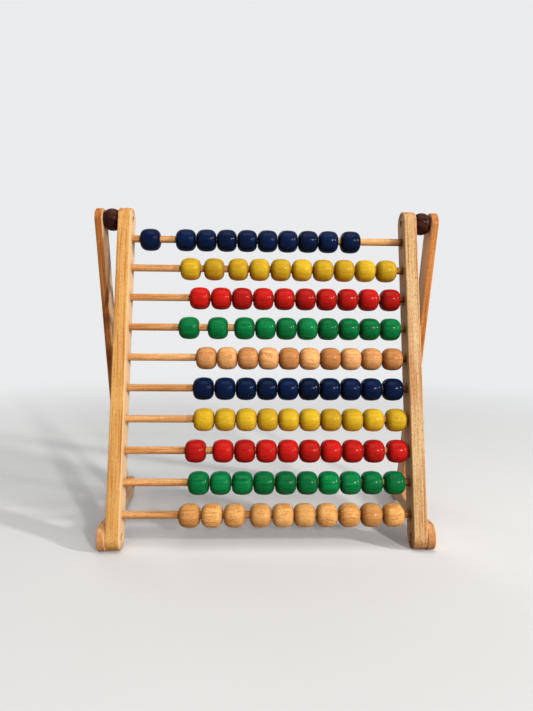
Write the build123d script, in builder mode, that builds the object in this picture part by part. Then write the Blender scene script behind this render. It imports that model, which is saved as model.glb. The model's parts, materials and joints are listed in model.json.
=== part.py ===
"""Counting frame: ten rows of ten wooden beads on dowels between two leaning
uprights, each side propped by a rear leg and tied by a foot rail.

Units are millimetres.  X runs across the frame, -Y is the side that faces the
user, +Z is up.  The origin lies on the table, under the middle of the frame.
Rows count from the top.  "right" is the +X side; the left side is its mirror.
"""

import os
from math import acos, atan2, cos, degrees, hypot, radians, sin, tan

from build123d import *

os.makedirs("parts", exist_ok=True)

# --- Frame ---------------------------------------------------------------
inner_width = 306.0  # between the inner faces of the uprights
upright_span = 347.0  # top screw to front screw, along an upright
leg_span = 350.0  # top screw to rear screw, along a leg
foot_span = 161.0  # front screw to rear screw, front to back

upright_thick = 14.5
upright_depth = 26.5
upright_edge = 1.3  # rounded edges

leg_thick = 8.6
leg_depth = 25.0
leg_edge = 1.5

rail_thick = 8.6
rail_depth = 27.5  # at its rounded ends, which stand on the table
rail_waist = 14.0  # halfway along
rail_edge = 1.3

# --- Rows of beads ---------------------------------------------------------
rod_count = 10
rod_margin = 22.3  # top screw to first rod, and last rod to front screw
rod_d = 8.0
rod_socket = 10.0  # how far a rod enters each upright

bead_d = 25.0
bead_len = 22.5
bead_shoulder_d = 20.8  # barrel diameter where the crown meets the end face
bead_round = 6.5  # rounding between barrel and end face
bead_bore_d = 9.5

# --- Spacer balls and screws -------------------------------------------------
ball_d = 25.0
ball_width = 17.4  # across its two flats, which part upright and leg

screw_d = 4.0
screw_head_d = 7.4
screw_head_h = 2.4
screw_slot_w = 1.0
screw_slot_h = 0.9
screw_point = 2.5
screw_bite = 6.5  # how far a screw enters its last piece
head_pocket_d = 8.2
upright_pocket_h = 3.6
rail_pocket_h = 3.0

# --- Clearances ----------------------------------------------------------------
rod_fit = 0.05  # radial, glued rod in its socket
socket_end = 0.4  # rod end to socket floor
screw_fit = 0.1  # radial, screw in its holes
seat_gap = 0.05  # between pieces that the screws pull together
bead_hang = 0.05  # bead bore to the top of its rod

# Each row: colour, beads in its left, middle and right group, the shares of the
# free travel left of each group, and the looseness between beads of one group.
rows = [
    ("blue", (1, 8, 1), (0.116, 0.225, 0.037), 0.55),
    ("yellow", (1, 1, 8), (0.774, 0.053, 0.064), 1.45),
    ("red", (2, 7, 1), (0.904, 0.010, 0.029), 1.17),
    ("green", (1, 1, 8), (0.722, 0.123, 0.090), 0.78),
    ("natural", (6, 3, 1), (0.936, 0.006, 0.014), 0.25),
    ("blue", (1, 8, 1), (0.921, 0.012, 0.014), 0.48),
    ("yellow", (7, 2, 1), (0.934, 0.015, 0.032), 0.46),
    ("red", (1, 8, 1), (0.855, 0.092, 0.037), 0.83),
    ("green", (3, 6, 1), (0.901, 0.006, 0.023), 0.76),
    ("natural", (3, 2, 5), (0.825, 0.070, 0.006), 1.34),
]
group_names = ("left", "middle", "right")

# --- Derived layout ----------------------------------------------------------
rod_pitch = (upright_span - 2 * rod_margin) / (rod_count - 1)
inner_x = inner_width / 2
outer_x = inner_x + upright_thick
leg_x = outer_x + ball_width + 2 * seat_gap

# The three screws of a side form a triangle that sets both slopes.
foot_angle = acos(
    (upright_span**2 + foot_span**2 - leg_span**2) / (2 * upright_span * foot_span)
)
upright_dir = (0, cos(foot_angle), sin(foot_angle))

rail_end_r = rail_depth / 2
screw_z = rail_end_r
front_y = -foot_span / 2
rear_y = front_y + foot_span
top_y = front_y + upright_span * upright_dir[1]
top_z = screw_z + upright_span * upright_dir[2]
leg_dir = (0, (top_y - rear_y) / leg_span, (top_z - screw_z) / leg_span)

# The rail starts against the upright and ends against the leg, so it toes out.
toe_x = leg_x - outer_x - 2 * seat_gap
toe_y = foot_span + rail_depth
toe = acos(rail_thick / hypot(toe_x, toe_y)) - atan2(toe_y, toe_x)
rail_x = outer_x + seat_gap + rail_end_r * tan(toe)
rail_length = foot_span / cos(toe)
rail_rear_x = rail_x + foot_span * tan(toe)


def side_plane(x, y, z, x_dir):
    """Plane that faces +X at (x, y, z), with its own x along x_dir."""
    return Plane(origin=(x, y, z), x_dir=x_dir, z_dir=(1, 0, 0))


def rod_height(row):
    """Distance of a row's rod above the front screw, along the upright."""
    return rod_margin + (rod_count - 1 - row) * rod_pitch


def rod_center(row):
    """(y, z) of a row's rod."""
    height = rod_height(row)
    return front_y + height * upright_dir[1], screw_z + height * upright_dir[2]


def layout(row):
    """Left end x of every bead of a row, group by group, and the free gaps."""
    _, counts, shares, loose = rows[row]
    inside = sum(counts) - len(counts)
    play = inner_width - sum(counts) * bead_len - inside * loose
    gaps = [share * play for share in shares]
    gaps.append(play - sum(gaps))
    x, groups = -inner_x, []
    for count, gap in zip(counts, gaps):
        x += gap
        groups.append([x + i * (bead_len + loose) for i in range(count)])
        x = groups[-1][-1] + bead_len
    return groups, gaps


# --- Uprights ------------------------------------------------------------------
upright_plane = side_plane(inner_x, front_y, screw_z, upright_dir)
upright_ends = [(0, 0), (upright_span, 0)]
with BuildPart() as upright_right:
    with BuildSketch(upright_plane):
        with Locations((upright_span / 2, 0)):
            SlotCenterToCenter(upright_span, upright_depth)
    extrude(amount=upright_thick)
    fillet(upright_right.faces().filter_by(Axis.X).edges(), radius=upright_edge)
    with BuildSketch(upright_plane):
        with Locations([(rod_height(row), 0) for row in range(rod_count)]):
            Circle(rod_d / 2 + rod_fit)
    extrude(amount=rod_socket, mode=Mode.SUBTRACT)
    with BuildSketch(upright_plane):
        with Locations(upright_ends):
            Circle(head_pocket_d / 2)
    extrude(amount=upright_pocket_h, mode=Mode.SUBTRACT)
    with BuildSketch(upright_plane):
        with Locations(upright_ends):
            Circle(screw_d / 2 + screw_fit)
    extrude(amount=upright_thick, mode=Mode.SUBTRACT)
upright_right.part.label = "upright_right"

with BuildPart() as upright_left:
    mirror(upright_right.part, about=Plane.YZ)
upright_left.part.label = "upright_left"

# --- Rear legs -------------------------------------------------------------------
leg_plane = side_plane(leg_x, rear_y, screw_z, leg_dir)
with BuildPart() as leg_right:
    with BuildSketch(leg_plane):
        with Locations((leg_span / 2, 0)):
            SlotCenterToCenter(leg_span, leg_depth)
    extrude(amount=leg_thick)
    fillet(leg_right.faces().filter_by(Axis.X).edges(), radius=leg_edge)
    with BuildSketch(leg_plane):
        with Locations((0, 0), (leg_span, 0)):
            Circle(screw_d / 2 + screw_fit)
    extrude(amount=screw_bite + screw_fit, mode=Mode.SUBTRACT)
leg_right.part.label = "leg_right"

with BuildPart() as leg_left:
    mirror(leg_right.part, about=Plane.YZ)
leg_left.part.label = "leg_left"

# --- Foot rails --------------------------------------------------------------------
# Round ends joined by hollow arcs: waist_r is the arc that touches both ends.
waist_h = rail_waist / 2
waist_r = (rail_length**2 / 4 + waist_h**2 - rail_end_r**2) / (
    2 * (rail_end_r - waist_h)
)
touch = rail_end_r / (rail_end_r + waist_r)
touch_x = touch * rail_length / 2
touch_y = touch * (waist_h + waist_r)
far_x = rail_length - touch_x
rail_plane = Plane(
    origin=(rail_x, front_y, screw_z),
    x_dir=(sin(toe), cos(toe), 0),
    z_dir=(cos(toe), -sin(toe), 0),
)
with BuildPart() as rail_right:
    with BuildSketch(rail_plane):
        with BuildLine():
            ThreePointArc(
                (touch_x, touch_y), (rail_length / 2, waist_h), (far_x, touch_y)
            )
            ThreePointArc(
                (far_x, touch_y), (rail_length + rail_end_r, 0), (far_x, -touch_y)
            )
            ThreePointArc(
                (far_x, -touch_y), (rail_length / 2, -waist_h), (touch_x, -touch_y)
            )
            ThreePointArc(
                (touch_x, -touch_y), (-rail_end_r, 0), (touch_x, touch_y)
            )
        make_face()
    extrude(amount=rail_thick)
    rail_faces = rail_right.faces().sort_by(Axis.X)
    fillet((rail_faces[0] + rail_faces[-1]).edges(), radius=rail_edge)
    with BuildSketch(side_plane(outer_x, front_y, screw_z, (0, 1, 0))):
        Circle(screw_d / 2 + screw_fit)
    extrude(amount=screw_bite + screw_fit, mode=Mode.SUBTRACT)
    with BuildSketch(side_plane(inner_x, rear_y, screw_z, (0, 1, 0))):
        Circle(head_pocket_d / 2)
    extrude(amount=rail_rear_x + rail_pocket_h - inner_x, mode=Mode.SUBTRACT)
    with BuildSketch(side_plane(inner_x, rear_y, screw_z, (0, 1, 0))):
        Circle(screw_d / 2 + screw_fit)
    extrude(amount=leg_x - inner_x, mode=Mode.SUBTRACT)
rail_right.part.label = "foot_rail_right"

with BuildPart() as rail_left:
    mirror(rail_right.part, about=Plane.YZ)
rail_left.part.label = "foot_rail_left"

# --- Spacer balls -----------------------------------------------------------------
flat_r = (ball_d**2 - ball_width**2) ** 0.5 / 2
with BuildSketch() as ball_profile:
    with BuildLine():
        half, bore = ball_width / 2, screw_d / 2 + screw_fit
        Polyline((-half, flat_r), (-half, bore), (half, bore), (half, flat_r))
        ThreePointArc((-half, flat_r), (0, ball_d / 2), (half, flat_r))
    make_face()

with BuildPart() as ball_right:
    with BuildSketch(Plane.XZ.offset(-top_y)):
        with Locations((outer_x + seat_gap + ball_width / 2, top_z)):
            add(ball_profile.sketch)
    revolve(axis=Axis((0, top_y, top_z), (1, 0, 0)))
ball_right.part.label = "spacer_ball_right"

with BuildPart() as ball_left:
    mirror(ball_right.part, about=Plane.YZ)
ball_left.part.label = "spacer_ball_left"

# --- Screws --------------------------------------------------------------------
# name, head seat x, tip x, y, z; both sides of a pair share one node.
screw_sets = [
    ("screws_top", inner_x + upright_pocket_h, leg_x + screw_bite, top_y, top_z),
    ("screws_front", inner_x + upright_pocket_h, outer_x + screw_bite, front_y, screw_z),
    ("screws_rear", rail_rear_x + rail_pocket_h, leg_x + screw_bite, rear_y, screw_z),
]
screws = []
for name, seat_x, tip_x, y, z in screw_sets:
    with BuildPart() as screw_pair:
        with BuildSketch(side_plane(seat_x, y, z, (0, 1, 0))):
            Circle(screw_head_d / 2)
        extrude(amount=-screw_head_h)
        with BuildSketch(side_plane(seat_x - screw_head_h, y, z, (0, 1, 0))):
            Rectangle(screw_head_d, screw_slot_w, rotation=35)
        extrude(amount=screw_slot_h, mode=Mode.SUBTRACT)
        with BuildSketch(side_plane(seat_x, y, z, (0, 1, 0))):
            Circle(screw_d / 2)
        extrude(amount=tip_x - seat_x)
        tip = screw_pair.faces().sort_by(Axis.X)[-1].edges()
        chamfer(tip, length=screw_point, length2=screw_d / 2 - 2 * screw_fit)
        mirror(about=Plane.YZ)
    screw_pair.part.label = name
    screws.append(screw_pair.part)

# --- Rods and beads ---------------------------------------------------------------
end, crown = bead_len / 2, bead_shoulder_d / 2
with BuildSketch() as bead_profile:
    with BuildLine():
        bore = bead_bore_d / 2
        Polyline((-end, crown), (-end, bore), (end, bore), (end, crown))
        ThreePointArc((-end, crown), (0, bead_d / 2), (end, crown))
    make_face()
    fillet(bead_profile.vertices().group_by(Axis.Y)[-1], radius=bead_round)

rod_length = inner_width + 2 * (rod_socket - socket_end)
bead_drop = (bead_bore_d - rod_d) / 2 - bead_hang
rods, beads = [], []
for row in range(rod_count):
    y, z = rod_center(row)
    with BuildPart() as rod:
        with BuildSketch(side_plane(-rod_length / 2, y, z, (0, 1, 0))):
            Circle(rod_d / 2)
        extrude(amount=rod_length)
        chamfer(rod.edges(), length=rod_fit * 10)
    rod.part.label = f"rod_{row + 1:02d}"
    rods.append(rod.part)

    groups, _ = layout(row)
    for name, starts in zip(group_names, groups):
        axis_z = z - bead_drop
        with BuildPart() as bead_group:
            with BuildSketch(Plane.XZ.offset(-y)):
                with Locations([(x + end, axis_z) for x in starts]):
                    add(bead_profile.sketch)
            revolve(axis=Axis((0, y, axis_z), (1, 0, 0)))
        bead_group.part.label = f"beads_{row + 1:02d}_{name}"
        beads.append(bead_group.part)

# --- Export -----------------------------------------------------------------------
frame_pieces = [
    upright_right.part,
    upright_left.part,
    leg_right.part,
    leg_left.part,
    rail_right.part,
    rail_left.part,
    ball_right.part,
    ball_left.part,
]
for piece in frame_pieces + screws + rods + beads:
    export_step(piece, f"parts/{piece.label}.step")

print(f"lean {90 - degrees(foot_angle):.2f} deg, toe {degrees(toe):.2f} deg")
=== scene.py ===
"""Counting frame with ten rows of turned wooden beads, finished and lit.

Sizes are in metres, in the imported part's own frame: X runs across the frame,
-Y faces the user and +Z is up.
"""

import json
from math import asin, pi, radians

import bpy
import numpy as np
from bpy.props import FloatProperty, FloatVectorProperty, IntProperty, PointerProperty
from mathutils import Matrix, Vector


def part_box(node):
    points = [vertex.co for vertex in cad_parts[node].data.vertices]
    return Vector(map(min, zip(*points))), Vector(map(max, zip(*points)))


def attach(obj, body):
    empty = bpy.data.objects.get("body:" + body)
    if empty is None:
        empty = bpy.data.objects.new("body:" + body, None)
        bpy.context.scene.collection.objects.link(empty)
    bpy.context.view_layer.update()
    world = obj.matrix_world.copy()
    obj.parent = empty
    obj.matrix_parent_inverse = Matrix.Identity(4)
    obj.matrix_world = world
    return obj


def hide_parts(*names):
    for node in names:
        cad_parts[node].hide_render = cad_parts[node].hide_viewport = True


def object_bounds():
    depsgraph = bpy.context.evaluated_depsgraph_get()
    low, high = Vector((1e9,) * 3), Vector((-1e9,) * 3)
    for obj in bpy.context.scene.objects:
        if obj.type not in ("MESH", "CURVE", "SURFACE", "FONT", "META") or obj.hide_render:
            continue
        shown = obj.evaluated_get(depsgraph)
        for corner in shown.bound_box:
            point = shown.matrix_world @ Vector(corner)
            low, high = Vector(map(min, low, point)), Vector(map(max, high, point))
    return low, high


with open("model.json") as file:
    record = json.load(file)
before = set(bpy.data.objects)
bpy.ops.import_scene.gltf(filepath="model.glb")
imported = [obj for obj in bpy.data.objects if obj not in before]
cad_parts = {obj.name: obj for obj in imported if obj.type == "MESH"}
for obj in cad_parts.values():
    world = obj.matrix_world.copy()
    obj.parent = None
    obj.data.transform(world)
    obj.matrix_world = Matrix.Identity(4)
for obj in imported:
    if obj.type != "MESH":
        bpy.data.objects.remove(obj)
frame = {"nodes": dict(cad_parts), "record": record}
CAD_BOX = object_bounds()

bl_info = {
    "name": "Counting frame",
    "version": (1, 0, 0),
    "blender": (4, 5, 0),
    "location": "View3D > Sidebar > Counting Frame",
    "description": "Builds and finishes a wooden counting frame with sliding beads",
    "category": "Object",
}

MM = 0.001
SEED = 20
ROWS = 10
GROUPS = ("left", "middle", "right")
SIDES = ("left", "right")
ROSY_ROW = 5  # the row of natural beads cut from pinker wood
BEAD_PLAY = 0.6 * MM  # about the room between two beads of a group
SOCKET = 10 * MM  # how deep a rod sits in its upright
SOCKET_SHADE_REACH = 16 * MM  # how far the painted shade at a rod's socket reaches along the rod
SOCKET_SHADE_LEFT = 0.35  # strength of that painted shade at the left upright, which takes more light
RELIEF = 0.4 * MM  # height of the bump of lacquered grain
ROUND_END = 2.4 * MM  # width of the rubbed band along a board's arrises
# Each stain of the beads: its base roughness, its flecks, how far the beads differ
# in tone, and the contrast of the grain.
BEAD_FINISHES = {
    "blue": (0.34, 0.5, 0.35, 0.8),
    "yellow": (0.40, 0.5, 0.18, 0.55),
    "red": (0.38, 0.4, 0.25, 0.6),
    "green": (0.36, 0.6, 0.30, 0.7),
    "natural": (0.40, 1.1, 0.50, 0.8),
    "rosy": (0.40, 1.0, 0.55, 0.8),
}
# Each lamp: its place, its width and height in metres, and its power's setting.
LAMPS = {
    "front_pane": ((1.47, -2.99, 1.30), 0.18, 0.36, "front_power"),
    "side_pane": ((2.88, -1.58, 1.38), 0.22, 0.40, "side_power"),
    "top_light": ((0.1, -0.5, 1.7), 1.2, 1.0, "top_power"),
    "back_light": ((-0.9, 1.7, 1.3), 1.4, 1.2, "back_power"),
}
# The grain of each upright: its seed, its flecks, its contrast and the strength of the
# painted shade round its sockets, deeper on the right upright, whose inner face is turned
# from the light.
UPRIGHT_GRAIN = {"left": (1.3, 0.8, 1.9, 0.3), "right": (3.4, 1.3, 1.3, 0.85)}
LEG_SEEDS = {"left": 5.2, "right": 6.9}
RAIL_SEEDS = {"left": 9.1, "right": 11.0}
BALL_BORE = 0.17  # a spacer ball's screw hole, as a share of its radius
SENSOR = 36.0  # width of the camera's frame in mm
LAMP_AIM = (0.0, 0.0, 0.18)
DAYLIGHT = (1.0, 0.985, 0.96)
SKY = (0.93, 0.96, 1.0)
FLOOR_RINGS = (0.0, 0.5, 1.0, 2.0, 4.0, 8.0, 14.0)  # radii in metres
FLOOR_FADE = (0.38, 1.5)  # where the floor turns into the backdrop, in metres
SLOTS = {s["node"]: s["material_slot"] for s in frame["record"]["subparts"]}


def size(name, text, default):
    """A length that the user can change, in metres."""
    return FloatProperty(
        name=name, description=text, default=default, min=0.0, unit="LENGTH",
        precision=5,
    )


def share(name, text, default):
    """A number from 0 to 1."""
    return FloatProperty(
        name=name, description=text, default=default, min=0.0, max=1.0,
        subtype="FACTOR",
    )


def colour(name, text, default):
    """A linear colour."""
    return FloatVectorProperty(
        name=name, description=text, default=default, size=3, min=0.0, max=1.0,
        subtype="COLOR",
    )


def plain(name, text, default):
    """A number with no unit."""
    return FloatProperty(name=name, description=text, default=default, min=0.0)


# --- Settings ------------------------------------------------------------------


class BeadSettings(bpy.types.PropertyGroup):
    length: size("Length", "Bead length along its rod", 22.5 * MM)
    diameter: size("Diameter", "Widest diameter of the barrel", 25 * MM)
    shoulder: size("Shoulder", "Barrel diameter where crown meets end", 20.2 * MM)
    rounding: size("Rounding", "Radius between crown and end face", 7.4 * MM)
    bore: size("Bore", "Diameter of the hole for the rod", 9.5 * MM)
    lip: size("Lip", "Softened edge of the bore", 0.35 * MM)
    variation: share("Variation", "How much turned beads differ in size", 0.012)
    sectors: IntProperty(
        name="Sectors", description="Faces round a bead", default=56, min=12
    )
    # Darkening at the bead ends: partly stain gathered there, partly painted shade where
    # the barrel turns from the light.
    ends: share("Ends", "Stain gathered at the ends", 0.55)
    blue: colour("Blue", "Navy stain", (0.0008, 0.011, 0.056))
    blue_deep: colour("Blue, deep", "Navy stain in the grain", (0.0008, 0.003, 0.015))
    yellow: colour("Yellow", "Yellow stain", (0.60, 0.41, 0.018))
    yellow_deep: colour("Yellow, deep", "Yellow in the grain", (0.40, 0.17, 0.005))
    red: colour("Red", "Red stain", (0.56, 0.011, 0.007))
    red_deep: colour("Red, deep", "Red stain in the grain", (0.20, 0.004, 0.003))
    green: colour("Green", "Green stain", (0.0015, 0.22, 0.058))
    green_deep: colour("Green, deep", "Green stain in the grain", (0.001, 0.055, 0.012))
    natural: colour("Natural", "Bare lacquered wood", (0.88, 0.52, 0.18))
    natural_deep: colour("Natural, deep", "Bare wood's grain", (0.44, 0.145, 0.025))
    rosy: colour("Rosy", "Pinker bare wood of the fifth row", (0.85, 0.47, 0.18))
    rosy_deep: colour("Rosy, deep", "Grain of the pinker wood", (0.43, 0.135, 0.03))


class FrameSettings(bpy.types.PropertyGroup):
    upright_depth: size("Upright depth", "Upright, front to back", 26.5 * MM)
    upright_thick: size("Upright thickness", "Upright, side to side", 14.5 * MM)
    prop_depth: size("Leg depth", "Rear leg, front to back", 25 * MM)
    rail_depth: size("Rail depth", "Foot rail height at its ends", 27.5 * MM)
    prop_thick: size("Leg thickness", "Rear leg and rail, side to side", 8.6 * MM)
    left_light: colour("Left upright", "Golden wood", (0.70, 0.385, 0.12))
    left_dark: colour("Left upright grain", "Darker growth rings", (0.46, 0.18, 0.04))
    right_light: colour("Right upright", "Paler wood", (0.65, 0.455, 0.235))
    right_dark: colour("Right upright grain", "Darker rings", (0.41, 0.15, 0.035))
    # Sides of the boards: paler wood, made lighter still as painted light where the left
    # upright's inner face takes the light.
    flank_wood_light_and_shade: colour("Flank", "Paler wood of the boards' sides", (0.90, 0.68, 0.44))
    # Painted shade: the right upright's wide sides darkened in colour, its inner face
    # being turned from the light.
    right_flank_shade: colour(
        "Right flank", "Wide sides of the right upright", (0.56, 0.31, 0.13)
    )
    prop_light: colour("Leg", "Wood of the rear legs", (0.66, 0.28, 0.082))
    prop_dark: colour("Leg grain", "Darker growth rings", (0.34, 0.11, 0.026))
    rail_light: colour("Rail", "Paler wood of the foot rails", (0.73, 0.40, 0.18))
    rail_dark: colour("Rail grain", "Darker growth rings", (0.45, 0.18, 0.06))
    rod_light: colour("Rod", "Wood of the rods", (0.74, 0.42, 0.17))
    rod_dark: colour("Rod grain", "Darker growth rings", (0.40, 0.15, 0.04))
    ball_light: colour("Ball", "Dark stain of the spacer balls", (0.070, 0.019, 0.011))
    ball_dark: colour("Ball grain", "Darkest grain of the balls", (0.012, 0.004, 0.003))
    # Plated steel made much darker than its own colour: painted shade of the recesses the
    # screw heads sit in.
    steel: colour("Steel", "Plated screw heads", (0.13, 0.125, 0.125))
    rod_diameter: size("Rod diameter", "Turned rods", 8 * MM)
    ball_diameter: size("Ball diameter", "Spacer balls", 25 * MM)
    ring_pitch: size("Ring pitch", "Distance between growth rings", 3.2 * MM)


class StageSettings(bpy.types.PropertyGroup):
    camera_place: FloatVectorProperty(
        name="Camera", description="Camera position", size=3, unit="LENGTH",
        default=(-0.0210, -0.6230, 0.2513),
    )
    camera_yaw: FloatProperty(
        name="Yaw", description="Turn to the right", subtype="ANGLE",
        default=radians(1.91),
    )
    camera_pitch: FloatProperty(
        name="Pitch", description="Tilt upwards", subtype="ANGLE",
        default=radians(-4.80),
    )
    camera_roll: FloatProperty(
        name="Roll", description="Turn about the line of sight", subtype="ANGLE",
        default=radians(0.55),
    )
    lens: plain("Lens", "Focal length in mm on a 36 mm frame", 26.83)
    backdrop: colour("Backdrop", "Pale wall round the stage", (0.83, 0.835, 0.845))
    floor: colour("Floor", "Pale floor", (0.70, 0.70, 0.695))
    bounce: colour("Bounce", "What the floor throws back", (0.27, 0.205, 0.155))
    front_power: plain("Front window", "Power of the front pane, in watts", 71.0)
    side_power: plain("Side window", "Power of the side pane, in watts", 89.0)
    top_power: plain("Top", "Power of the soft light overhead, in watts", 10.0)
    back_power: plain("Back", "Power of the soft light behind, in watts", 11.0)
    ambient: plain("Ambient", "Strength of the light from all round", 0.25)


# --- Shader helpers -----------------------------------------------------------


class Shader:
    """Short words for adding nodes to a material or to a node group."""

    def __init__(self, tree):
        self.tree = tree

    def node(self, kind, **settings):
        made = self.tree.nodes.new("ShaderNode" + kind)
        for key, value in settings.items():
            setattr(made, key, value)
        return made

    def feed(self, socket, value):
        if isinstance(value, bpy.types.NodeSocket):
            self.tree.links.new(value, socket)
        elif isinstance(value, (tuple, list)) and len(value) == 3:
            alpha = len(socket.default_value) == 4
            socket.default_value = (*value, 1.0) if alpha else value
        else:
            socket.default_value = value

    def math(self, operation, *values, clamp=False):
        made = self.node("Math", operation=operation, use_clamp=clamp)
        for socket, value in zip(made.inputs, values):
            self.feed(socket, value)
        return made.outputs[0]

    def vector(self, operation, *values):
        made = self.node("VectorMath", operation=operation)
        for socket, value in zip(made.inputs, values):
            self.feed(socket, value)
        return made.outputs["Value" if operation == "LENGTH" else "Vector"]

    def split(self, value):
        made = self.node("SeparateXYZ")
        self.feed(made.inputs[0], value)
        return made.outputs

    def join(self, x, y, z):
        made = self.node("CombineXYZ")
        for socket, value in zip(made.inputs, (x, y, z)):
            self.feed(socket, value)
        return made.outputs[0]

    def noise(self, vector, scale, detail=2.0, roughness=0.5, distortion=0.0):
        made = self.node("TexNoise")
        values = (scale, detail, roughness, distortion)
        self.feed(made.inputs["Vector"], vector)
        for key, value in zip(("Scale", "Detail", "Roughness", "Distortion"), values):
            self.feed(made.inputs[key], value)
        return made.outputs[0]

    def remap(self, value, low, high, to_low=0.0, to_high=1.0):
        made = self.node("MapRange", interpolation_type="SMOOTHSTEP")
        for socket, number in zip(made.inputs, (value, low, high, to_low, to_high)):
            self.feed(socket, number)
        return made.outputs[0]

    def mix(self, factor, first, second, blend="MIX"):
        made = self.node("Mix", data_type="RGBA", blend_type=blend)
        for index, value in ((0, factor), (6, first), (7, second)):
            self.feed(made.inputs[index], value)
        return made.outputs[2]

    def direct(self):
        """1 for the rays of the camera, of gloss and of glass, 0 for the others."""
        path = self.node("LightPath").outputs
        seen = self.math("MAXIMUM", path["Is Camera Ray"], path["Is Glossy Ray"])
        return self.math("MAXIMUM", seen, path["Is Transmission Ray"])

    def bump(self, strength, distance, height):
        """A normal raised by a height, at most by the distance."""
        made = self.node("Bump")
        for key, value in zip(("Strength", "Distance", "Height"),
                              (strength, distance, height)):
            self.feed(made.inputs[key], value)
        return made.outputs[0]

    def place(self, group, **values):
        """Places a node group and feeds its named inputs."""
        made = self.node("Group", node_tree=group)
        for key, value in values.items():
            self.feed(made.inputs[key.replace("_", " ")], value)
        return made.outputs


SOCKETS = {"v": "NodeSocketVector", "c": "NodeSocketColor", "f": "NodeSocketFloat"}


def new_group(name, takes, gives):
    """An empty node group with sockets named by takes and gives, as name: kind."""
    group = bpy.data.node_groups.new(name, "ShaderNodeTree")
    for way, sockets in (("INPUT", takes), ("OUTPUT", gives)):
        for title, kind in sockets.items():
            group.interface.new_socket(title, in_out=way, socket_type=SOCKETS[kind])
    s = Shader(group)
    start = group.nodes.new("NodeGroupInput").outputs
    end = group.nodes.new("NodeGroupOutput").inputs
    return group, s, start, end


def straight_grain_group():
    """Plain-sawn hardwood with its grain along Z.

    Growth rings are distances from a pith outside the board, divided by the ring
    pitch; the late part of each ring is darker.  Fibres, streaks, veins and the
    flecks of the pores are noise drawn out along Z, and a slow noise shifts the
    tone.  Contrast scales all of them but the flecks.
    """
    group, s, start, end = new_group(
        "straight_grain",
        {"Vector": "v", "Light": "c", "Dark": "c", "Ring Pitch": "f", "Figure": "f",
         "Fleck": "f", "Contrast": "f", "Seed": "f"},
        {"Color": "c", "Height": "f", "Pore": "f"},
    )
    shift = s.join(
        s.math("MULTIPLY", start["Seed"], 0.37),
        s.math("MULTIPLY", start["Seed"], 0.53),
        s.math("MULTIPLY", start["Seed"], 0.71),
    )
    place = s.vector("ADD", start["Vector"], shift)
    slow = s.vector("MULTIPLY", place, (1.0, 1.0, 0.16))
    bend = s.math("MULTIPLY", s.math("SUBTRACT", s.noise(slow, 38.0, 3.0), 0.5), 0.011)
    x, y, _ = s.split(start["Vector"])
    pith = s.join(s.math("ADD", x, 55 * MM), s.math("ADD", y, 30 * MM), 0.0)
    away = s.vector("LENGTH", pith)
    waved = s.math("ADD", away, bend)
    rings = s.math("FRACT", s.math("DIVIDE", waved, start["Ring Pitch"]))
    late = s.math("MULTIPLY", s.remap(rings, 0.15, 0.86), s.remap(rings, 1.0, 0.90))
    fibre = s.noise(s.vector("MULTIPLY", place, (1.0, 1.0, 0.022)), 1500.0, 3.0, 0.6)
    streak = s.noise(s.vector("MULTIPLY", place, (1.0, 1.0, 0.03)), 260.0, 3.0, 0.6)
    tone = s.noise(s.vector("MULTIPLY", place, (1.0, 1.0, 0.3)), 42.0, 2.0)
    fleck = s.noise(s.vector("MULTIPLY", place, (1.0, 1.0, 0.17)), 2300.0, 1.0, 0.4)
    pore = s.math("MULTIPLY", s.remap(fleck, 0.53, 0.66), start["Fleck"])
    line = s.noise(s.vector("MULTIPLY", place, (1.0, 1.0, 0.012)), 620.0, 2.0, 0.5)
    vein = s.remap(line, 0.55, 0.70)
    marks = s.math("MULTIPLY", s.math("MULTIPLY", late, start["Figure"]), 0.55)
    for pattern, low, high, weight in (
        (fibre, 0.25, 0.75, 0.50), (streak, 0.30, 0.70, 0.60), (tone, 0.3, 0.7, 0.30),
    ):
        part = s.math("MULTIPLY", s.remap(pattern, low, high, -0.5, 0.5), weight)
        marks = s.math("ADD", marks, part)
    marks = s.math("ADD", marks, s.math("MULTIPLY", vein, 0.35))
    shade = s.math("MULTIPLY_ADD", marks, start["Contrast"], 0.22, clamp=True)
    base = s.mix(shade, start["Light"], start["Dark"])
    darkest = s.mix(1.0, start["Dark"], (0.62, 0.48, 0.42), "MULTIPLY")
    filled = s.math("MULTIPLY", pore, 0.60, clamp=True)
    s.feed(end["Color"], s.mix(filled, base, darkest))
    s.feed(end["Height"], s.math("SUBTRACT", s.math("MULTIPLY", fibre, 0.35), pore))
    s.feed(end["Pore"], pore)
    return group


def board_edge_group():
    """Masks of a board with rounded ends: arrises, ends and flat sides, 0 to 1.

    In the board's own axes X is its thickness, Y its depth and Z its length.  The
    distance to the arris along the surface is what is left of the half thickness
    plus what is left of the half depth, measured round the end past each screw.
    """
    group, s, start, end = new_group(
        "board_edge",
        {"Vector": "v", "Half Thickness": "f", "Half Depth": "f", "Length": "f",
         "Width": "f"},
        {"Edge": "f", "End": "f", "Side": "f"},
    )
    x, y, z = s.split(start["Vector"])
    inside = s.math("MINIMUM", s.math("MAXIMUM", z, 0.0), start["Length"])
    past = s.math("SUBTRACT", z, inside)
    out = s.vector("LENGTH", s.join(y, past, 0.0))
    left = s.math(
        "ADD",
        s.math("SUBTRACT", start["Half Thickness"], s.math("ABSOLUTE", x)),
        s.math("SUBTRACT", start["Half Depth"], out),
    )
    s.feed(end["Edge"], s.remap(left, start["Width"], 0.0))
    turned = s.math("DIVIDE", s.math("ABSOLUTE", past), start["Half Depth"])
    s.feed(end["End"], s.remap(turned, 0.25, 1.0))
    under = s.math("SUBTRACT", start["Half Thickness"], s.math("ABSOLUTE", x))
    s.feed(end["Side"], s.remap(under, 0.9 * MM, 0.1 * MM))
    return group


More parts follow.
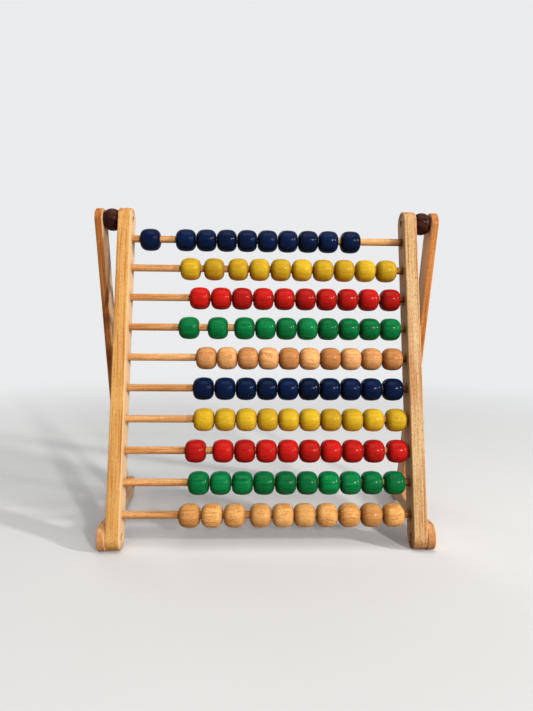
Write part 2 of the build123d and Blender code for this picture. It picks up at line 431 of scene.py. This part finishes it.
def wear_group():
    """A rubbed patch mask: nearness to an edge, broken up by noise."""
    group, s, start, end = new_group(
        "rubbed_edge", {"Vector": "v", "Edge": "f", "Amount": "f", "Scale": "f"},
        {"Mask": "f"},
    )
    patch = s.noise(start["Vector"], start["Scale"], 4.0, 0.6)
    level = s.math("ADD", start["Edge"], s.math("MULTIPLY_ADD", patch, 1.1, -0.75))
    mask = s.math("MULTIPLY", s.remap(level, 0.1, 0.9), start["Amount"])
    s.feed(end["Mask"], mask)
    return group


def handling_group():
    """Uneven lacquer: blotches and fine dust that change gloss and depth a little."""
    group, s, start, end = new_group(
        "handling", {"Vector": "v", "Gloss": "f"}, {"Roughness": "f", "Relief": "f"}
    )
    blotch = s.noise(start["Vector"], 120.0, 3.0, 0.55)
    dust = s.noise(start["Vector"], 2600.0, 1.0)
    specks = s.remap(dust, 0.70, 0.78, 0.0, 0.12)
    level = s.math("ADD", specks, start["Gloss"])
    rough = s.math("ADD", s.remap(blotch, 0.3, 0.7, -0.05, 0.07), level, clamp=True)
    s.feed(end["Roughness"], rough)
    s.feed(end["Relief"], s.math("MULTIPLY", s.noise(start["Vector"], 420.0, 2.0), 0.4))
    return group


def shared(name):
    """The node group of that name, built on first use."""
    makers = {
        "straight_grain": straight_grain_group,
        "board_edge": board_edge_group,
        "rubbed_edge": wear_group,
        "handling": handling_group,
    }
    return bpy.data.node_groups.get(name) or makers[name]()


def new_material(name):
    """An empty material with its Principled shader, and the words to fill it."""
    material = bpy.data.materials.new(name)
    material.use_nodes = True
    material.node_tree.nodes.clear()
    s = Shader(material.node_tree)
    surface = s.node("BsdfPrincipled")
    s.feed(s.node("OutputMaterial").inputs["Surface"], surface.outputs[0])
    return material, s, surface.inputs


def lacquer(s, inputs, colour_out, grain, place, gloss, coat):
    """Satin lacquer over wood: grain relief under a thin clear coat."""
    film = s.place(shared("handling"), Vector=place, Gloss=gloss)
    rough = s.math("MULTIPLY_ADD", grain["Pore"], 0.16, film["Roughness"], clamp=True)
    height = s.math("ADD", grain["Height"], film["Relief"])
    s.feed(inputs["Normal"], s.bump(0.12, RELIEF, height))
    s.feed(inputs["Base Color"], colour_out)
    s.feed(inputs["Roughness"], rough)
    inputs["Coat Weight"].default_value = coat
    inputs["Coat Roughness"].default_value = 0.14
    inputs["Specular IOR Level"].default_value = 0.02


def board_material(name, foot, head, woods, half, seed, figure, pitch, fleck=1.0,
                   contrast=1.35, sockets=None):
    """Lacquered board with its grain running from its foot to its head.

    woods are its light and dark colours and its flank colour: the sides' paler wood with
    painted light, and on the right upright painted shade.  half is half its thickness and
    half its depth.  sockets, for an upright, are the last values of socket_ring_shade, the
    painted shade round the rods.
    """
    material, s, inputs = new_material(name)
    light, dark, flank_wood_light_and_shade = (tuple(wood) for wood in woods)
    turn = board_frame(foot, head)
    mapping = s.node("Mapping")
    s.feed(mapping.inputs["Vector"], s.node("TexCoord").outputs["Object"])
    mapping.inputs["Location"].default_value = turn.to_translation()
    mapping.inputs["Rotation"].default_value = turn.to_euler("XYZ")
    place = mapping.outputs[0]
    grain = s.place(
        shared("straight_grain"), Vector=place, Light=light, Dark=dark,
        Ring_Pitch=pitch, Figure=figure, Fleck=fleck, Contrast=contrast, Seed=seed,
    )
    edge = s.place(
        shared("board_edge"), Vector=place, Half_Thickness=half[0],
        Half_Depth=half[1], Length=(head - foot).length, Width=ROUND_END,
    )
    rubbed = s.place(
        shared("rubbed_edge"), Vector=place, Edge=edge["Edge"], Amount=0.3,
        Scale=210.0,
    )
    pale = tuple(min(1.0, 1.12 * c + 0.03) for c in light)
    # The flat sides take the flank colour: paler wood with painted light, and on the right
    # upright painted shade.
    flat = s.mix(s.math("MULTIPLY", edge["Side"], 0.5), grain["Color"], flank_wood_light_and_shade)
    tinted = s.mix(s.math("MULTIPLY", edge["End"], 0.45), flat, dark)
    wear_and_painted_shading = s.mix(rubbed["Mask"], tinted, pale)
    # Painted shade round each rod's socket on an upright's inner face, mixed over the
    # wear.
    if sockets:
        ring_shade = socket_ring_shade(s, place, edge, *sockets)
        wear_and_painted_shading = s.mix(ring_shade, wear_and_painted_shading, tuple(0.3 * c for c in dark))
    lacquer(s, inputs, wear_and_painted_shading, grain, place, gloss=0.38, coat=0.05)
    return material


def socket_ring_shade(s, place, edge, first, pitch, inner, amount):
    """Painted shade on the inner face round each rod where it enters: the distance to the
    nearest of the equally spaced sockets, broken up by noise.  The first socket and the
    pitch are measured along the board, and inner is the sign of the inner face's X."""
    x, y, z = s.split(place)
    step = s.math("DIVIDE", s.math("SUBTRACT", z, first), pitch)
    along = s.math("MULTIPLY", s.math("SUBTRACT", step, s.math("ROUND", step)), pitch)
    away = s.vector("LENGTH", s.join(y, along, 0.0))
    ring = s.remap(away, 10.0 * MM, 4.5 * MM, 0.0, amount)
    patchy = s.remap(s.noise(place, 260.0, 3.0), 0.3, 0.6, 0.35, 1.0)
    facing = s.remap(s.math("MULTIPLY", x, inner), 0.0, 2.0 * MM)
    mask = s.math("MULTIPLY", s.math("MULTIPLY", ring, patchy), edge["Side"])
    return s.math("MULTIPLY", mask, facing)


def turned_material(name, light, dark, gloss, coat, fleck, spread=0.15, ends=0.6,
                    pitch=2.6 * MM, figure=0.5, contrast=1.0):
    """Lacquered turned wood: the attributes of its mesh place the grain and say how dark
    the piece is and where it is darkened towards its ends, partly by stain and partly by
    painted shade."""
    material, s, inputs = new_material(name)
    place = s.node("Attribute", attribute_name="grain").outputs["Vector"]
    tone = s.node("Attribute", attribute_name="tone").outputs["Fac"]
    rim = s.node("Attribute", attribute_name="rim").outputs["Fac"]
    grain = s.place(
        shared("straight_grain"), Vector=place, Light=light, Dark=dark,
        Ring_Pitch=pitch, Figure=figure, Fleck=fleck, Contrast=contrast, Seed=0.0,
    )
    varied = s.mix(s.math("MULTIPLY", tone, spread), grain["Color"], dark)
    level = s.math("MULTIPLY_ADD", tone, -0.30, 1.16)
    toned = s.mix(1.0, varied, s.join(level, level, level), "MULTIPLY")
    # Darker towards the ends: stain and painted shade on the beads, and painted shade
    # where a rod enters its upright.
    gathered = s.math("MULTIPLY", s.math("POWER", rim, 1.6), ends)
    toned = s.mix(gathered, toned, tuple(0.35 * c for c in dark))
    lacquer(s, inputs, toned, grain, place, gloss, coat)
    return material


def steel_material(name, tint):
    """Dull plated steel with fine scratches across the heads."""
    material, s, inputs = new_material(name)
    place = s.node("TexCoord").outputs["Object"]
    drawn = s.noise(s.vector("MULTIPLY", place, (1.0, 0.12, 1.0)), 5200.0, 3.0, 0.6)
    dull = s.noise(place, 700.0, 3.0)
    dark = tuple(0.55 * c for c in tint)
    s.feed(inputs["Base Color"], s.mix(s.remap(dull, 0.35, 0.7), tint, dark))
    s.feed(inputs["Roughness"], s.remap(drawn, 0.2, 0.8, 0.26, 0.48))
    s.feed(inputs["Normal"], s.bump(0.2, 0.05 * MM, drawn))
    inputs["Metallic"].default_value = 1.0
    return material


# --- Mesh helpers -----------------------------------------------------------------


def turned_solid(x, r, sectors):
    """A closed profile turned about X: the point (x, r) goes to
    (x, r cos a, r sin a) at each angle a.  x and r are (pieces, along); the
    result is (pieces, sectors, along, 3)."""
    angle = np.linspace(0.0, 2.0 * pi, sectors, endpoint=False)[None, :, None]
    return np.stack(
        np.broadcast_arrays(
            x[:, None, :], r[:, None, :] * np.cos(angle), r[:, None, :] * np.sin(angle)
        ),
        axis=-1,
    )


def ring_faces(pieces, around, along):
    """Quads of grids that close on themselves both ways."""
    piece, i, j = np.meshgrid(
        np.arange(pieces), np.arange(around), np.arange(along), indexing="ij"
    )
    start = piece * around * along

    def corner(a, b):
        return start + (a % around) * along + b % along

    corners = (corner(i, j), corner(i, j + 1), corner(i + 1, j + 1), corner(i + 1, j))
    return np.stack(corners, axis=-1).reshape(-1, 4)


def new_piece(name, points, faces, material, attributes):
    """A smooth mesh object at the origin, with its faces outwards."""
    points, faces = points.reshape(-1, 3), np.asarray(faces)
    a, b, c, d = (points[faces[:, k]] for k in range(4))
    volume = np.sum(a * np.cross(b - a, c - a)) + np.sum(a * np.cross(c - a, d - a))
    if volume < 0.0:
        faces = faces[:, ::-1]
    mesh = bpy.data.meshes.new(name)
    mesh.from_pydata(points.tolist(), [], faces.tolist())
    mesh.shade_smooth()
    for key, values in attributes.items():
        vector = values.shape[-1] == 3
        kind = "FLOAT_VECTOR" if vector else "FLOAT"
        layer = mesh.attributes.new(key, kind, "POINT")
        layer.data.foreach_set("vector" if vector else "value", values.ravel())
    mesh.materials.append(material)
    piece = bpy.data.objects.new(name, mesh)
    bpy.context.scene.collection.objects.link(piece)
    return piece


def barrel_profile(half, crown_r, shoulder_r, rounding, bore_r, lip):
    """Closed (x, r) profile of a barrel bead with a bore.

    The crown is an arc through the shoulders and the middle.  A corner arc of the
    given rounding touches the crown and the end face, and a small lip arc softens
    the bore's edge.
    """
    rise = crown_r - shoulder_r
    crown = (half**2 + rise**2) / (2 * rise)
    sink = crown_r - crown
    corner_x = half - rounding
    corner_r = sink + np.sqrt((crown - rounding) ** 2 - corner_x**2)
    lean = np.arcsin(corner_x / (crown - rounding))
    top = np.linspace(0.0, lean, 4, endpoint=False)
    turn = np.linspace(pi / 2 - lean, 0.0, 12)
    lip_turn = np.linspace(0.0, -pi / 2, 4)
    x = np.concatenate([
        crown * np.sin(top), corner_x + rounding * np.cos(turn),
        half - lip + lip * np.cos(lip_turn),
    ])
    r = np.concatenate([
        sink + crown * np.cos(top), corner_r + rounding * np.sin(turn),
        bore_r + lip + lip * np.sin(lip_turn),
    ])
    return np.concatenate([x, -x[:0:-1]]), np.concatenate([r, r[:0:-1]])


def grain_space(points, rng, tilt=0.12):
    """Coordinates for the wood pattern: each piece's own space, turned by a random
    angle about X, tilted a little and moved to its own spot in the log, with the
    grain along the last axis.  points is (pieces, n, 3) about each centre."""
    pieces = points.shape[0]
    roll = rng.uniform(0.0, 2.0 * pi, pieces)[:, None]
    lean = rng.normal(0.0, tilt, pieces)[:, None]
    x, y, z = (points[..., k] for k in range(3))
    across = y * np.cos(roll) - z * np.sin(roll)
    up = y * np.sin(roll) + z * np.cos(roll)
    along = x * np.cos(lean) - up * np.sin(lean)
    up = x * np.sin(lean) + up * np.cos(lean)
    spot = rng.uniform(-0.05, 0.05, (pieces, 1, 3)) + np.array([0.0, 0.0, 1.0])
    return np.stack([across, up, along], axis=-1) + spot


def span(node):
    """Lowest and highest corner of a CAD node, as arrays in metres."""
    low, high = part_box(node)
    return np.array(low), np.array(high)


def body_of_node(node):
    """The body whose list holds a node."""
    bodies = frame["record"]["behaviour"]["bodies"]
    return next(body for body, nodes in bodies.items() if node in nodes)


def stand_for(piece, node):
    """The piece rides with the node's body and hides the node."""
    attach(piece, body_of_node(node))
    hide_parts(node)


def finish_node(node, material):
    """Gives a CAD node its finish."""
    made = frame["nodes"][node]
    if not made.material_slots:
        made.data.materials.append(material)
    for place in made.material_slots:
        place.material = material


def board_frame(low_end, high_end):
    """Turns object space into a board's own axes: X across its thickness, Z from
    its low end to its high end, origin at the low end."""
    along = (high_end - low_end).normalized()
    across = Vector((1.0, 0.0, 0.0))
    across = (across - along * across.dot(along)).normalized()
    deep = along.cross(across)
    turn = Matrix((across, deep, along))
    made = turn.to_4x4()
    made.translation = -(turn @ low_end)
    return made


# --- Operators ---------------------------------------------------------------------


class ABACUS_OT_uprights(bpy.types.Operator):
    """Finish the two leaning uprights"""

    bl_idname = "abacus.uprights"
    bl_label = "Uprights"

    def execute(self, context):
        f = context.scene.abacus_frame
        reach = f.upright_depth / 2
        for side in SIDES:
            node = f"upright_{side}"
            low, high = span(node)
            mid_x = (low[0] + high[0]) / 2
            foot = Vector((mid_x, low[1] + reach, low[2] + reach))
            head = Vector((mid_x, high[1] - reach, high[2] - reach))
            reaches = []
            for row in (1, ROWS):
                _, y, z = sum(span(f"rod_{row:02d}")) / 2
                reaches.append((Vector((mid_x, y, z)) - foot).length)
            last, first = reaches
            # The last value is the strength of the painted shade round the sockets.
            seed, fleck, contrast, stain = UPRIGHT_GRAIN[side]
            # The right upright's sides take the painted shade, the left's the paler wood
            # with painted light.
            inner, flank_wood_light_and_shade = (-1, f.right_flank_shade) if side == "right" else (1, f.flank_wood_light_and_shade)
            material = board_material(
                f"{node}_wood", foot, head,
                (getattr(f, f"{side}_light"), getattr(f, f"{side}_dark"), flank_wood_light_and_shade),
                (f.upright_thick / 2, reach), seed, 0.3, f.ring_pitch, fleck, contrast,
                sockets=(first, (last - first) / (ROWS - 1), inner, stain),
            )
            finish_node(node, material)
        return {"FINISHED"}


class ABACUS_OT_legs(bpy.types.Operator):
    """Finish the two rear legs"""

    bl_idname = "abacus.legs"
    bl_label = "Rear legs"

    def execute(self, context):
        f = context.scene.abacus_frame
        reach = f.prop_depth / 2
        for side in SIDES:
            node = f"leg_{side}"
            low, high = span(node)
            mid_x = (low[0] + high[0]) / 2
            foot = Vector((mid_x, high[1] - reach, low[2] + reach))
            head = Vector((mid_x, low[1] + reach, high[2] - reach))
            material = board_material(
                f"{node}_wood", foot, head, (f.prop_light, f.prop_dark, f.flank_wood_light_and_shade),
                (f.prop_thick / 2, reach), LEG_SEEDS[side], 0.35, f.ring_pitch,
            )
            finish_node(node, material)
        return {"FINISHED"}


class ABACUS_OT_rails(bpy.types.Operator):
    """Finish the two waisted foot rails"""

    bl_idname = "abacus.rails"
    bl_label = "Foot rails"

    def execute(self, context):
        f = context.scene.abacus_frame
        reach = f.rail_depth / 2
        for side in SIDES:
            node = f"foot_rail_{side}"
            low, high = span(node)
            wide, deep = high[0] - low[0], high[1] - low[1]
            toe = asin((wide - f.prop_thick) / deep) * (1 if low[0] > 0 else -1)
            mid = Vector(((low[0] + high[0]) / 2, 0.0, (low[2] + high[2]) / 2))
            run = Vector((np.sin(toe), np.cos(toe), 0.0)) * (deep / 2 - reach)
            material = board_material(
                f"{node}_wood", mid - run, mid + run,
                (f.rail_light, f.rail_dark, f.flank_wood_light_and_shade), (f.prop_thick / 2, reach),
                RAIL_SEEDS[side], 0.35, f.ring_pitch,
            )
            finish_node(node, material)
        return {"FINISHED"}


class ABACUS_OT_rods(bpy.types.Operator):
    """Turn the ten rods"""

    bl_idname = "abacus.rods"
    bl_label = "Rods"

    def execute(self, context):
        f = context.scene.abacus_frame
        rng = np.random.default_rng(SEED)
        # ends sets the strength of the painted shade where each rod enters its upright.
        material = turned_material(
            "rod_wood", tuple(f.rod_light), tuple(f.rod_dark), gloss=0.38, coat=0.06,
            fleck=0.9, spread=0.3, ends=0.9, pitch=4 * MM, figure=0.4, contrast=1.3,
        )
        sectors, stations = 40, 48
        radius = f.rod_diameter / 2
        core, bevel = 0.02 * radius, 0.12 * radius
        for row in range(1, ROWS + 1):
            node = f"rod_{row:02d}"
            low, high = span(node)
            centre, half = (low + high) / 2, (high[0] - low[0]) / 2
            # The end faces close towards the axis in the very small core.
            x = np.concatenate([
                [-half, -half, -half + bevel],
                np.linspace(-half + radius * 0.5, half - radius * 0.5, stations),
                [half - bevel, half, half],
            ])
            r = np.full(x.shape, radius)
            r[[0, -1]], r[[1, -2]] = core, radius - bevel
            core_x = np.linspace(half, -half, 4)[1:-1]
            x = np.concatenate([x, core_x])
            r = np.concatenate([r, np.full(2, core)])
            points = turned_solid(x[None], r[None], sectors)
            flat = points.reshape(1, -1, 3)
            # Painted shade where the rod enters its socket, weaker at the left upright,
            # which is lit from the right.
            buried = half - np.abs(flat[..., 0]) - SOCKET
            socket_shade = np.clip(1.0 - buried / SOCKET_SHADE_REACH, 0.0, 1.0) ** 0.7
            socket_shade = socket_shade * np.where(flat[..., 0] > 0.0, 1.0, SOCKET_SHADE_LEFT)
            attributes = {
                "grain": grain_space(flat, rng, 0.01),
                "tone": np.full((flat.shape[1], 1), rng.uniform(0.25, 0.75)),
                "rim": socket_shade.reshape(-1, 1),
            }
            piece = new_piece(
                f"turned_rod_{row:02d}", points + centre,
                ring_faces(1, sectors, x.size), material, attributes,
            )
            stand_for(piece, node)
        return {"FINISHED"}


class ABACUS_OT_beads(bpy.types.Operator):
    """Turn the ten rows of barrel beads"""

    bl_idname = "abacus.beads"
    bl_label = "Beads"

    def execute(self, context):
        b = context.scene.abacus_beads
        rng = np.random.default_rng(SEED + 1)
        finishes = {
            f"bead_{name}": turned_material(
                f"bead_{name}", tuple(getattr(b, name)),
                tuple(getattr(b, f"{name}_deep")), gloss, 0.10, fleck, spread, b.ends,
                contrast=contrast,
            )
            for name, (gloss, fleck, spread, contrast) in BEAD_FINISHES.items()
        }
        rosy_row = {f"beads_{ROSY_ROW:02d}_{place}" for place in GROUPS}
        x, r = barrel_profile(
            b.length / 2, b.diameter / 2, b.shoulder / 2, b.rounding, b.bore / 2, b.lip
        )
        half, bore_r = b.length / 2, b.bore / 2
        for row in range(1, ROWS + 1):
            for place in GROUPS:
                node = f"beads_{row:02d}_{place}"
                low, high = span(node)
                wide = high[0] - low[0]
                count = int(round(wide / (b.length + BEAD_PLAY)))
                starts = np.linspace(low[0] + half, high[0] - half, count)
                shrink = 1.0 - b.variation * rng.random((count, 1))
                stretch = 1.0 - 0.5 * b.variation * rng.random((count, 1))
                outer = bore_r + (r[None] - bore_r) * shrink
                points = turned_solid(x[None] * stretch, outer, b.sectors)
                flat = points.reshape(count, -1, 3)
                # Mask towards each bead's ends for its stain and painted shade.
                rim = np.clip((np.abs(flat[..., 0]) / half - 0.5) / 0.5, 0.0, 1.0)
                tone = np.repeat(rng.random((count, 1)), flat.shape[1], axis=1)
                attributes = {
                    "grain": grain_space(flat, rng).reshape(-1, 3),
                    "tone": tone.reshape(-1, 1),
                    "rim": rim.reshape(-1, 1),
                }
                centre = np.zeros((count, 1, 1, 3))
                centre[:, 0, 0, 0] = starts
                centre[..., 1:] = (low[1:] + high[1:]) / 2
                piece = new_piece(
                    f"turned_{node}", points + centre,
                    ring_faces(count, b.sectors, x.size),
                    finishes["bead_rosy" if node in rosy_row else SLOTS[node]],
                    attributes,
                )
                stand_for(piece, node)
        return {"FINISHED"}


class ABACUS_OT_balls(bpy.types.Operator):
    """Turn the two dark spacer balls"""

    bl_idname = "abacus.balls"
    bl_label = "Spacer balls"

    def execute(self, context):
        f = context.scene.abacus_frame
        rng = np.random.default_rng(SEED + 2)
        material = turned_material(
            "ball_wood", tuple(f.ball_light), tuple(f.ball_dark), gloss=0.30,
            coat=0.08, fleck=0.8, contrast=1.5,
        )
        radius, sectors = f.ball_diameter / 2, 64
        for side in SIDES:
            node = f"spacer_ball_{side}"
            low, high = span(node)
            half = (high[0] - low[0]) / 2
            turn = np.linspace(-asin(half / radius), asin(half / radius), 29)
            bore = BALL_BORE * radius
            x = np.concatenate([radius * np.sin(turn), [half, -half]])
            r = np.concatenate([radius * np.cos(turn), [bore, bore]])
            points = turned_solid(x[None], r[None], sectors)
            flat = points.reshape(1, -1, 3)
            attributes = {
                "grain": grain_space(flat, rng, 0.5),
                "tone": np.full((flat.shape[1], 1), 0.5),
                "rim": np.zeros((flat.shape[1], 1)),
            }
            piece = new_piece(
                f"turned_ball_{side}", points + (low + high) / 2,
                ring_faces(1, sectors, x.size), material, attributes,
            )
            stand_for(piece, node)
        return {"FINISHED"}


class ABACUS_OT_screws(bpy.types.Operator):
    """Finish the recessed slotted screws"""

    bl_idname = "abacus.screws"
    bl_label = "Screws"

    def execute(self, context):
        f = context.scene.abacus_frame
        material = steel_material("screw_steel", tuple(f.steel))
        for place in ("top", "front", "rear"):
            finish_node(f"screws_{place}", material)
        return {"FINISHED"}


def soft_light(name, place, wide, high, power):
    """A daylight area lamp at a place, turned towards the frame."""
    lamp = bpy.data.lights.new(name, "AREA")
    lamp.shape, lamp.size, lamp.size_y = "RECTANGLE", wide, high
    lamp.energy, lamp.color = power, DAYLIGHT
    made = bpy.data.objects.new(name, lamp)
    made.location = place
    away = Vector(LAMP_AIM) - Vector(place)
    made.rotation_euler = away.to_track_quat("-Z", "Y").to_euler()
    bpy.context.scene.collection.objects.link(made)


class ABACUS_OT_stage(bpy.types.Operator):
    """Lay the floor, hang the lights and set the camera"""

    bl_idname = "abacus.stage"
    bl_label = "Stage"

    def floor(self, stage):
        """A flat disc at the height of the lowest corner: the point of radius r and
        angle a is (r cos a, r sin a).  Its material turns into the backdrop with
        the distance from the middle, for the rays that see the stage directly."""
        radius = np.array(FLOOR_RINGS)[None, :]
        angle = np.linspace(0.0, 2.0 * pi, 65)[:-1, None]
        points = np.stack(
            np.broadcast_arrays(
                radius * np.cos(angle), radius * np.sin(angle), np.array(CAD_BOX[0][2])
            ),
            axis=-1,
        )
        around, along = points.shape[:2]
        i, j = np.meshgrid(np.arange(around), np.arange(along - 1), indexing="ij")
        after = (i + 1) % around
        near, far = i * along + j, after * along + j
        quads = np.stack([near, near + 1, far + 1, far], axis=-1).reshape(-1, 4)
        mesh = bpy.data.meshes.new("floor")
        mesh.from_pydata(points.reshape(-1, 3).tolist(), [], quads.tolist())
        mesh.validate()
        material = bpy.data.materials.new("pale_floor")
        material.use_nodes = True
        material.node_tree.nodes.clear()
        s = Shader(material.node_tree)
        matt, glow = s.node("BsdfDiffuse"), s.node("Emission")
        blend = s.node("MixShader")
        place = s.node("TexCoord").outputs["Object"]
        faded = s.remap(s.vector("LENGTH", place), *FLOOR_FADE)
        direct = s.direct()
        ground = s.mix(direct, tuple(stage.bounce), tuple(stage.floor))
        s.feed(matt.inputs["Color"], ground)
        s.feed(glow.inputs["Color"], tuple(stage.backdrop))
        s.feed(blend.inputs[0], s.math("MULTIPLY", faded, direct))
        s.feed(blend.inputs[1], matt.outputs[0])
        s.feed(blend.inputs[2], glow.outputs[0])
        s.feed(s.node("OutputMaterial").inputs["Surface"], blend.outputs[0])
        mesh.materials.append(material)
        floor = bpy.data.objects.new("floor", mesh)
        bpy.context.scene.collection.objects.link(floor)

    def surroundings(self, stage):
        """Pale surroundings for the eye and for reflections.  The light they throw is
        softer, weaker from below and a little stronger from the right."""
        world = bpy.data.worlds.new("studio")
        bpy.context.scene.world = world
        world.use_nodes = True
        world.node_tree.nodes.clear()
        s = Shader(world.node_tree)
        seen, lit = s.node("Background"), s.node("Background")
        blend = s.node("MixShader")
        side, _, up = s.split(s.node("TexCoord").outputs["Generated"])
        s.feed(seen.inputs["Color"], tuple(stage.backdrop))
        s.feed(lit.inputs["Color"], SKY)
        overhead = s.remap(up, -0.1, 0.7, 0.35, 1.35)
        windows = s.remap(side, -0.8, 0.6, 0.5 * stage.ambient, 1.25 * stage.ambient)
        s.feed(lit.inputs["Strength"], s.math("MULTIPLY", overhead, windows))
        s.feed(blend.inputs[0], s.direct())
        s.feed(blend.inputs[1], lit.outputs[0])
        s.feed(blend.inputs[2], seen.outputs[0])
        s.feed(s.node("OutputWorld").inputs["Surface"], blend.outputs[0])

    def camera(self, stage):
        """A camera turned by yaw, pitch and roll from a level view along +Y."""
        lens = bpy.data.cameras.new("camera")
        lens.lens, lens.sensor_width = stage.lens, SENSOR
        made = bpy.data.objects.new("camera", lens)
        turn = (
            Matrix.Rotation(-stage.camera_yaw, 3, "Z")
            @ Matrix.Rotation(pi / 2 + stage.camera_pitch, 3, "X")
            @ Matrix.Rotation(stage.camera_roll, 3, "Z")
        )
        made.matrix_world = Matrix.Translation(stage.camera_place) @ turn.to_4x4()
        bpy.context.scene.collection.objects.link(made)
        bpy.context.scene.camera = made

    def execute(self, context):
        stage = context.scene.abacus_stage
        self.floor(stage)
        self.surroundings(stage)
        self.camera(stage)
        for name, (place, wide, high, power) in LAMPS.items():
            soft_light(name, place, wide, high, getattr(stage, power))
        context.scene.view_settings.view_transform = "Standard"
        return {"FINISHED"}


class ABACUS_PT_panel(bpy.types.Panel):
    """Lists the pieces of the counting frame"""

    bl_idname = "ABACUS_PT_panel"
    bl_label = "Counting Frame"
    bl_space_type = "VIEW_3D"
    bl_region_type = "UI"
    bl_category = "Counting Frame"

    def draw(self, context):
        for operator in OPERATORS:
            self.layout.operator(operator.bl_idname)


SETTINGS = {
    "abacus_beads": BeadSettings,
    "abacus_frame": FrameSettings,
    "abacus_stage": StageSettings,
}
OPERATORS = (
    ABACUS_OT_stage,
    ABACUS_OT_uprights,
    ABACUS_OT_legs,
    ABACUS_OT_rails,
    ABACUS_OT_rods,
    ABACUS_OT_beads,
    ABACUS_OT_balls,
    ABACUS_OT_screws,
)


def register():
    for made in (*SETTINGS.values(), *OPERATORS, ABACUS_PT_panel):
        bpy.utils.register_class(made)
    for name, group in SETTINGS.items():
        setattr(bpy.types.Scene, name, PointerProperty(type=group))


def unregister():
    for name in SETTINGS:
        delattr(bpy.types.Scene, name)
    for made in (ABACUS_PT_panel, *reversed(OPERATORS), *reversed(SETTINGS.values())):
        bpy.utils.unregister_class(made)


def main():
    """Registers the add-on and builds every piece."""
    register()
    bpy.ops.abacus.stage()
    bpy.ops.abacus.uprights()
    bpy.ops.abacus.legs()
    bpy.ops.abacus.rails()
    bpy.ops.abacus.rods()
    bpy.ops.abacus.beads()
    bpy.ops.abacus.balls()
    bpy.ops.abacus.screws()


if __name__ == "__main__":
    main()
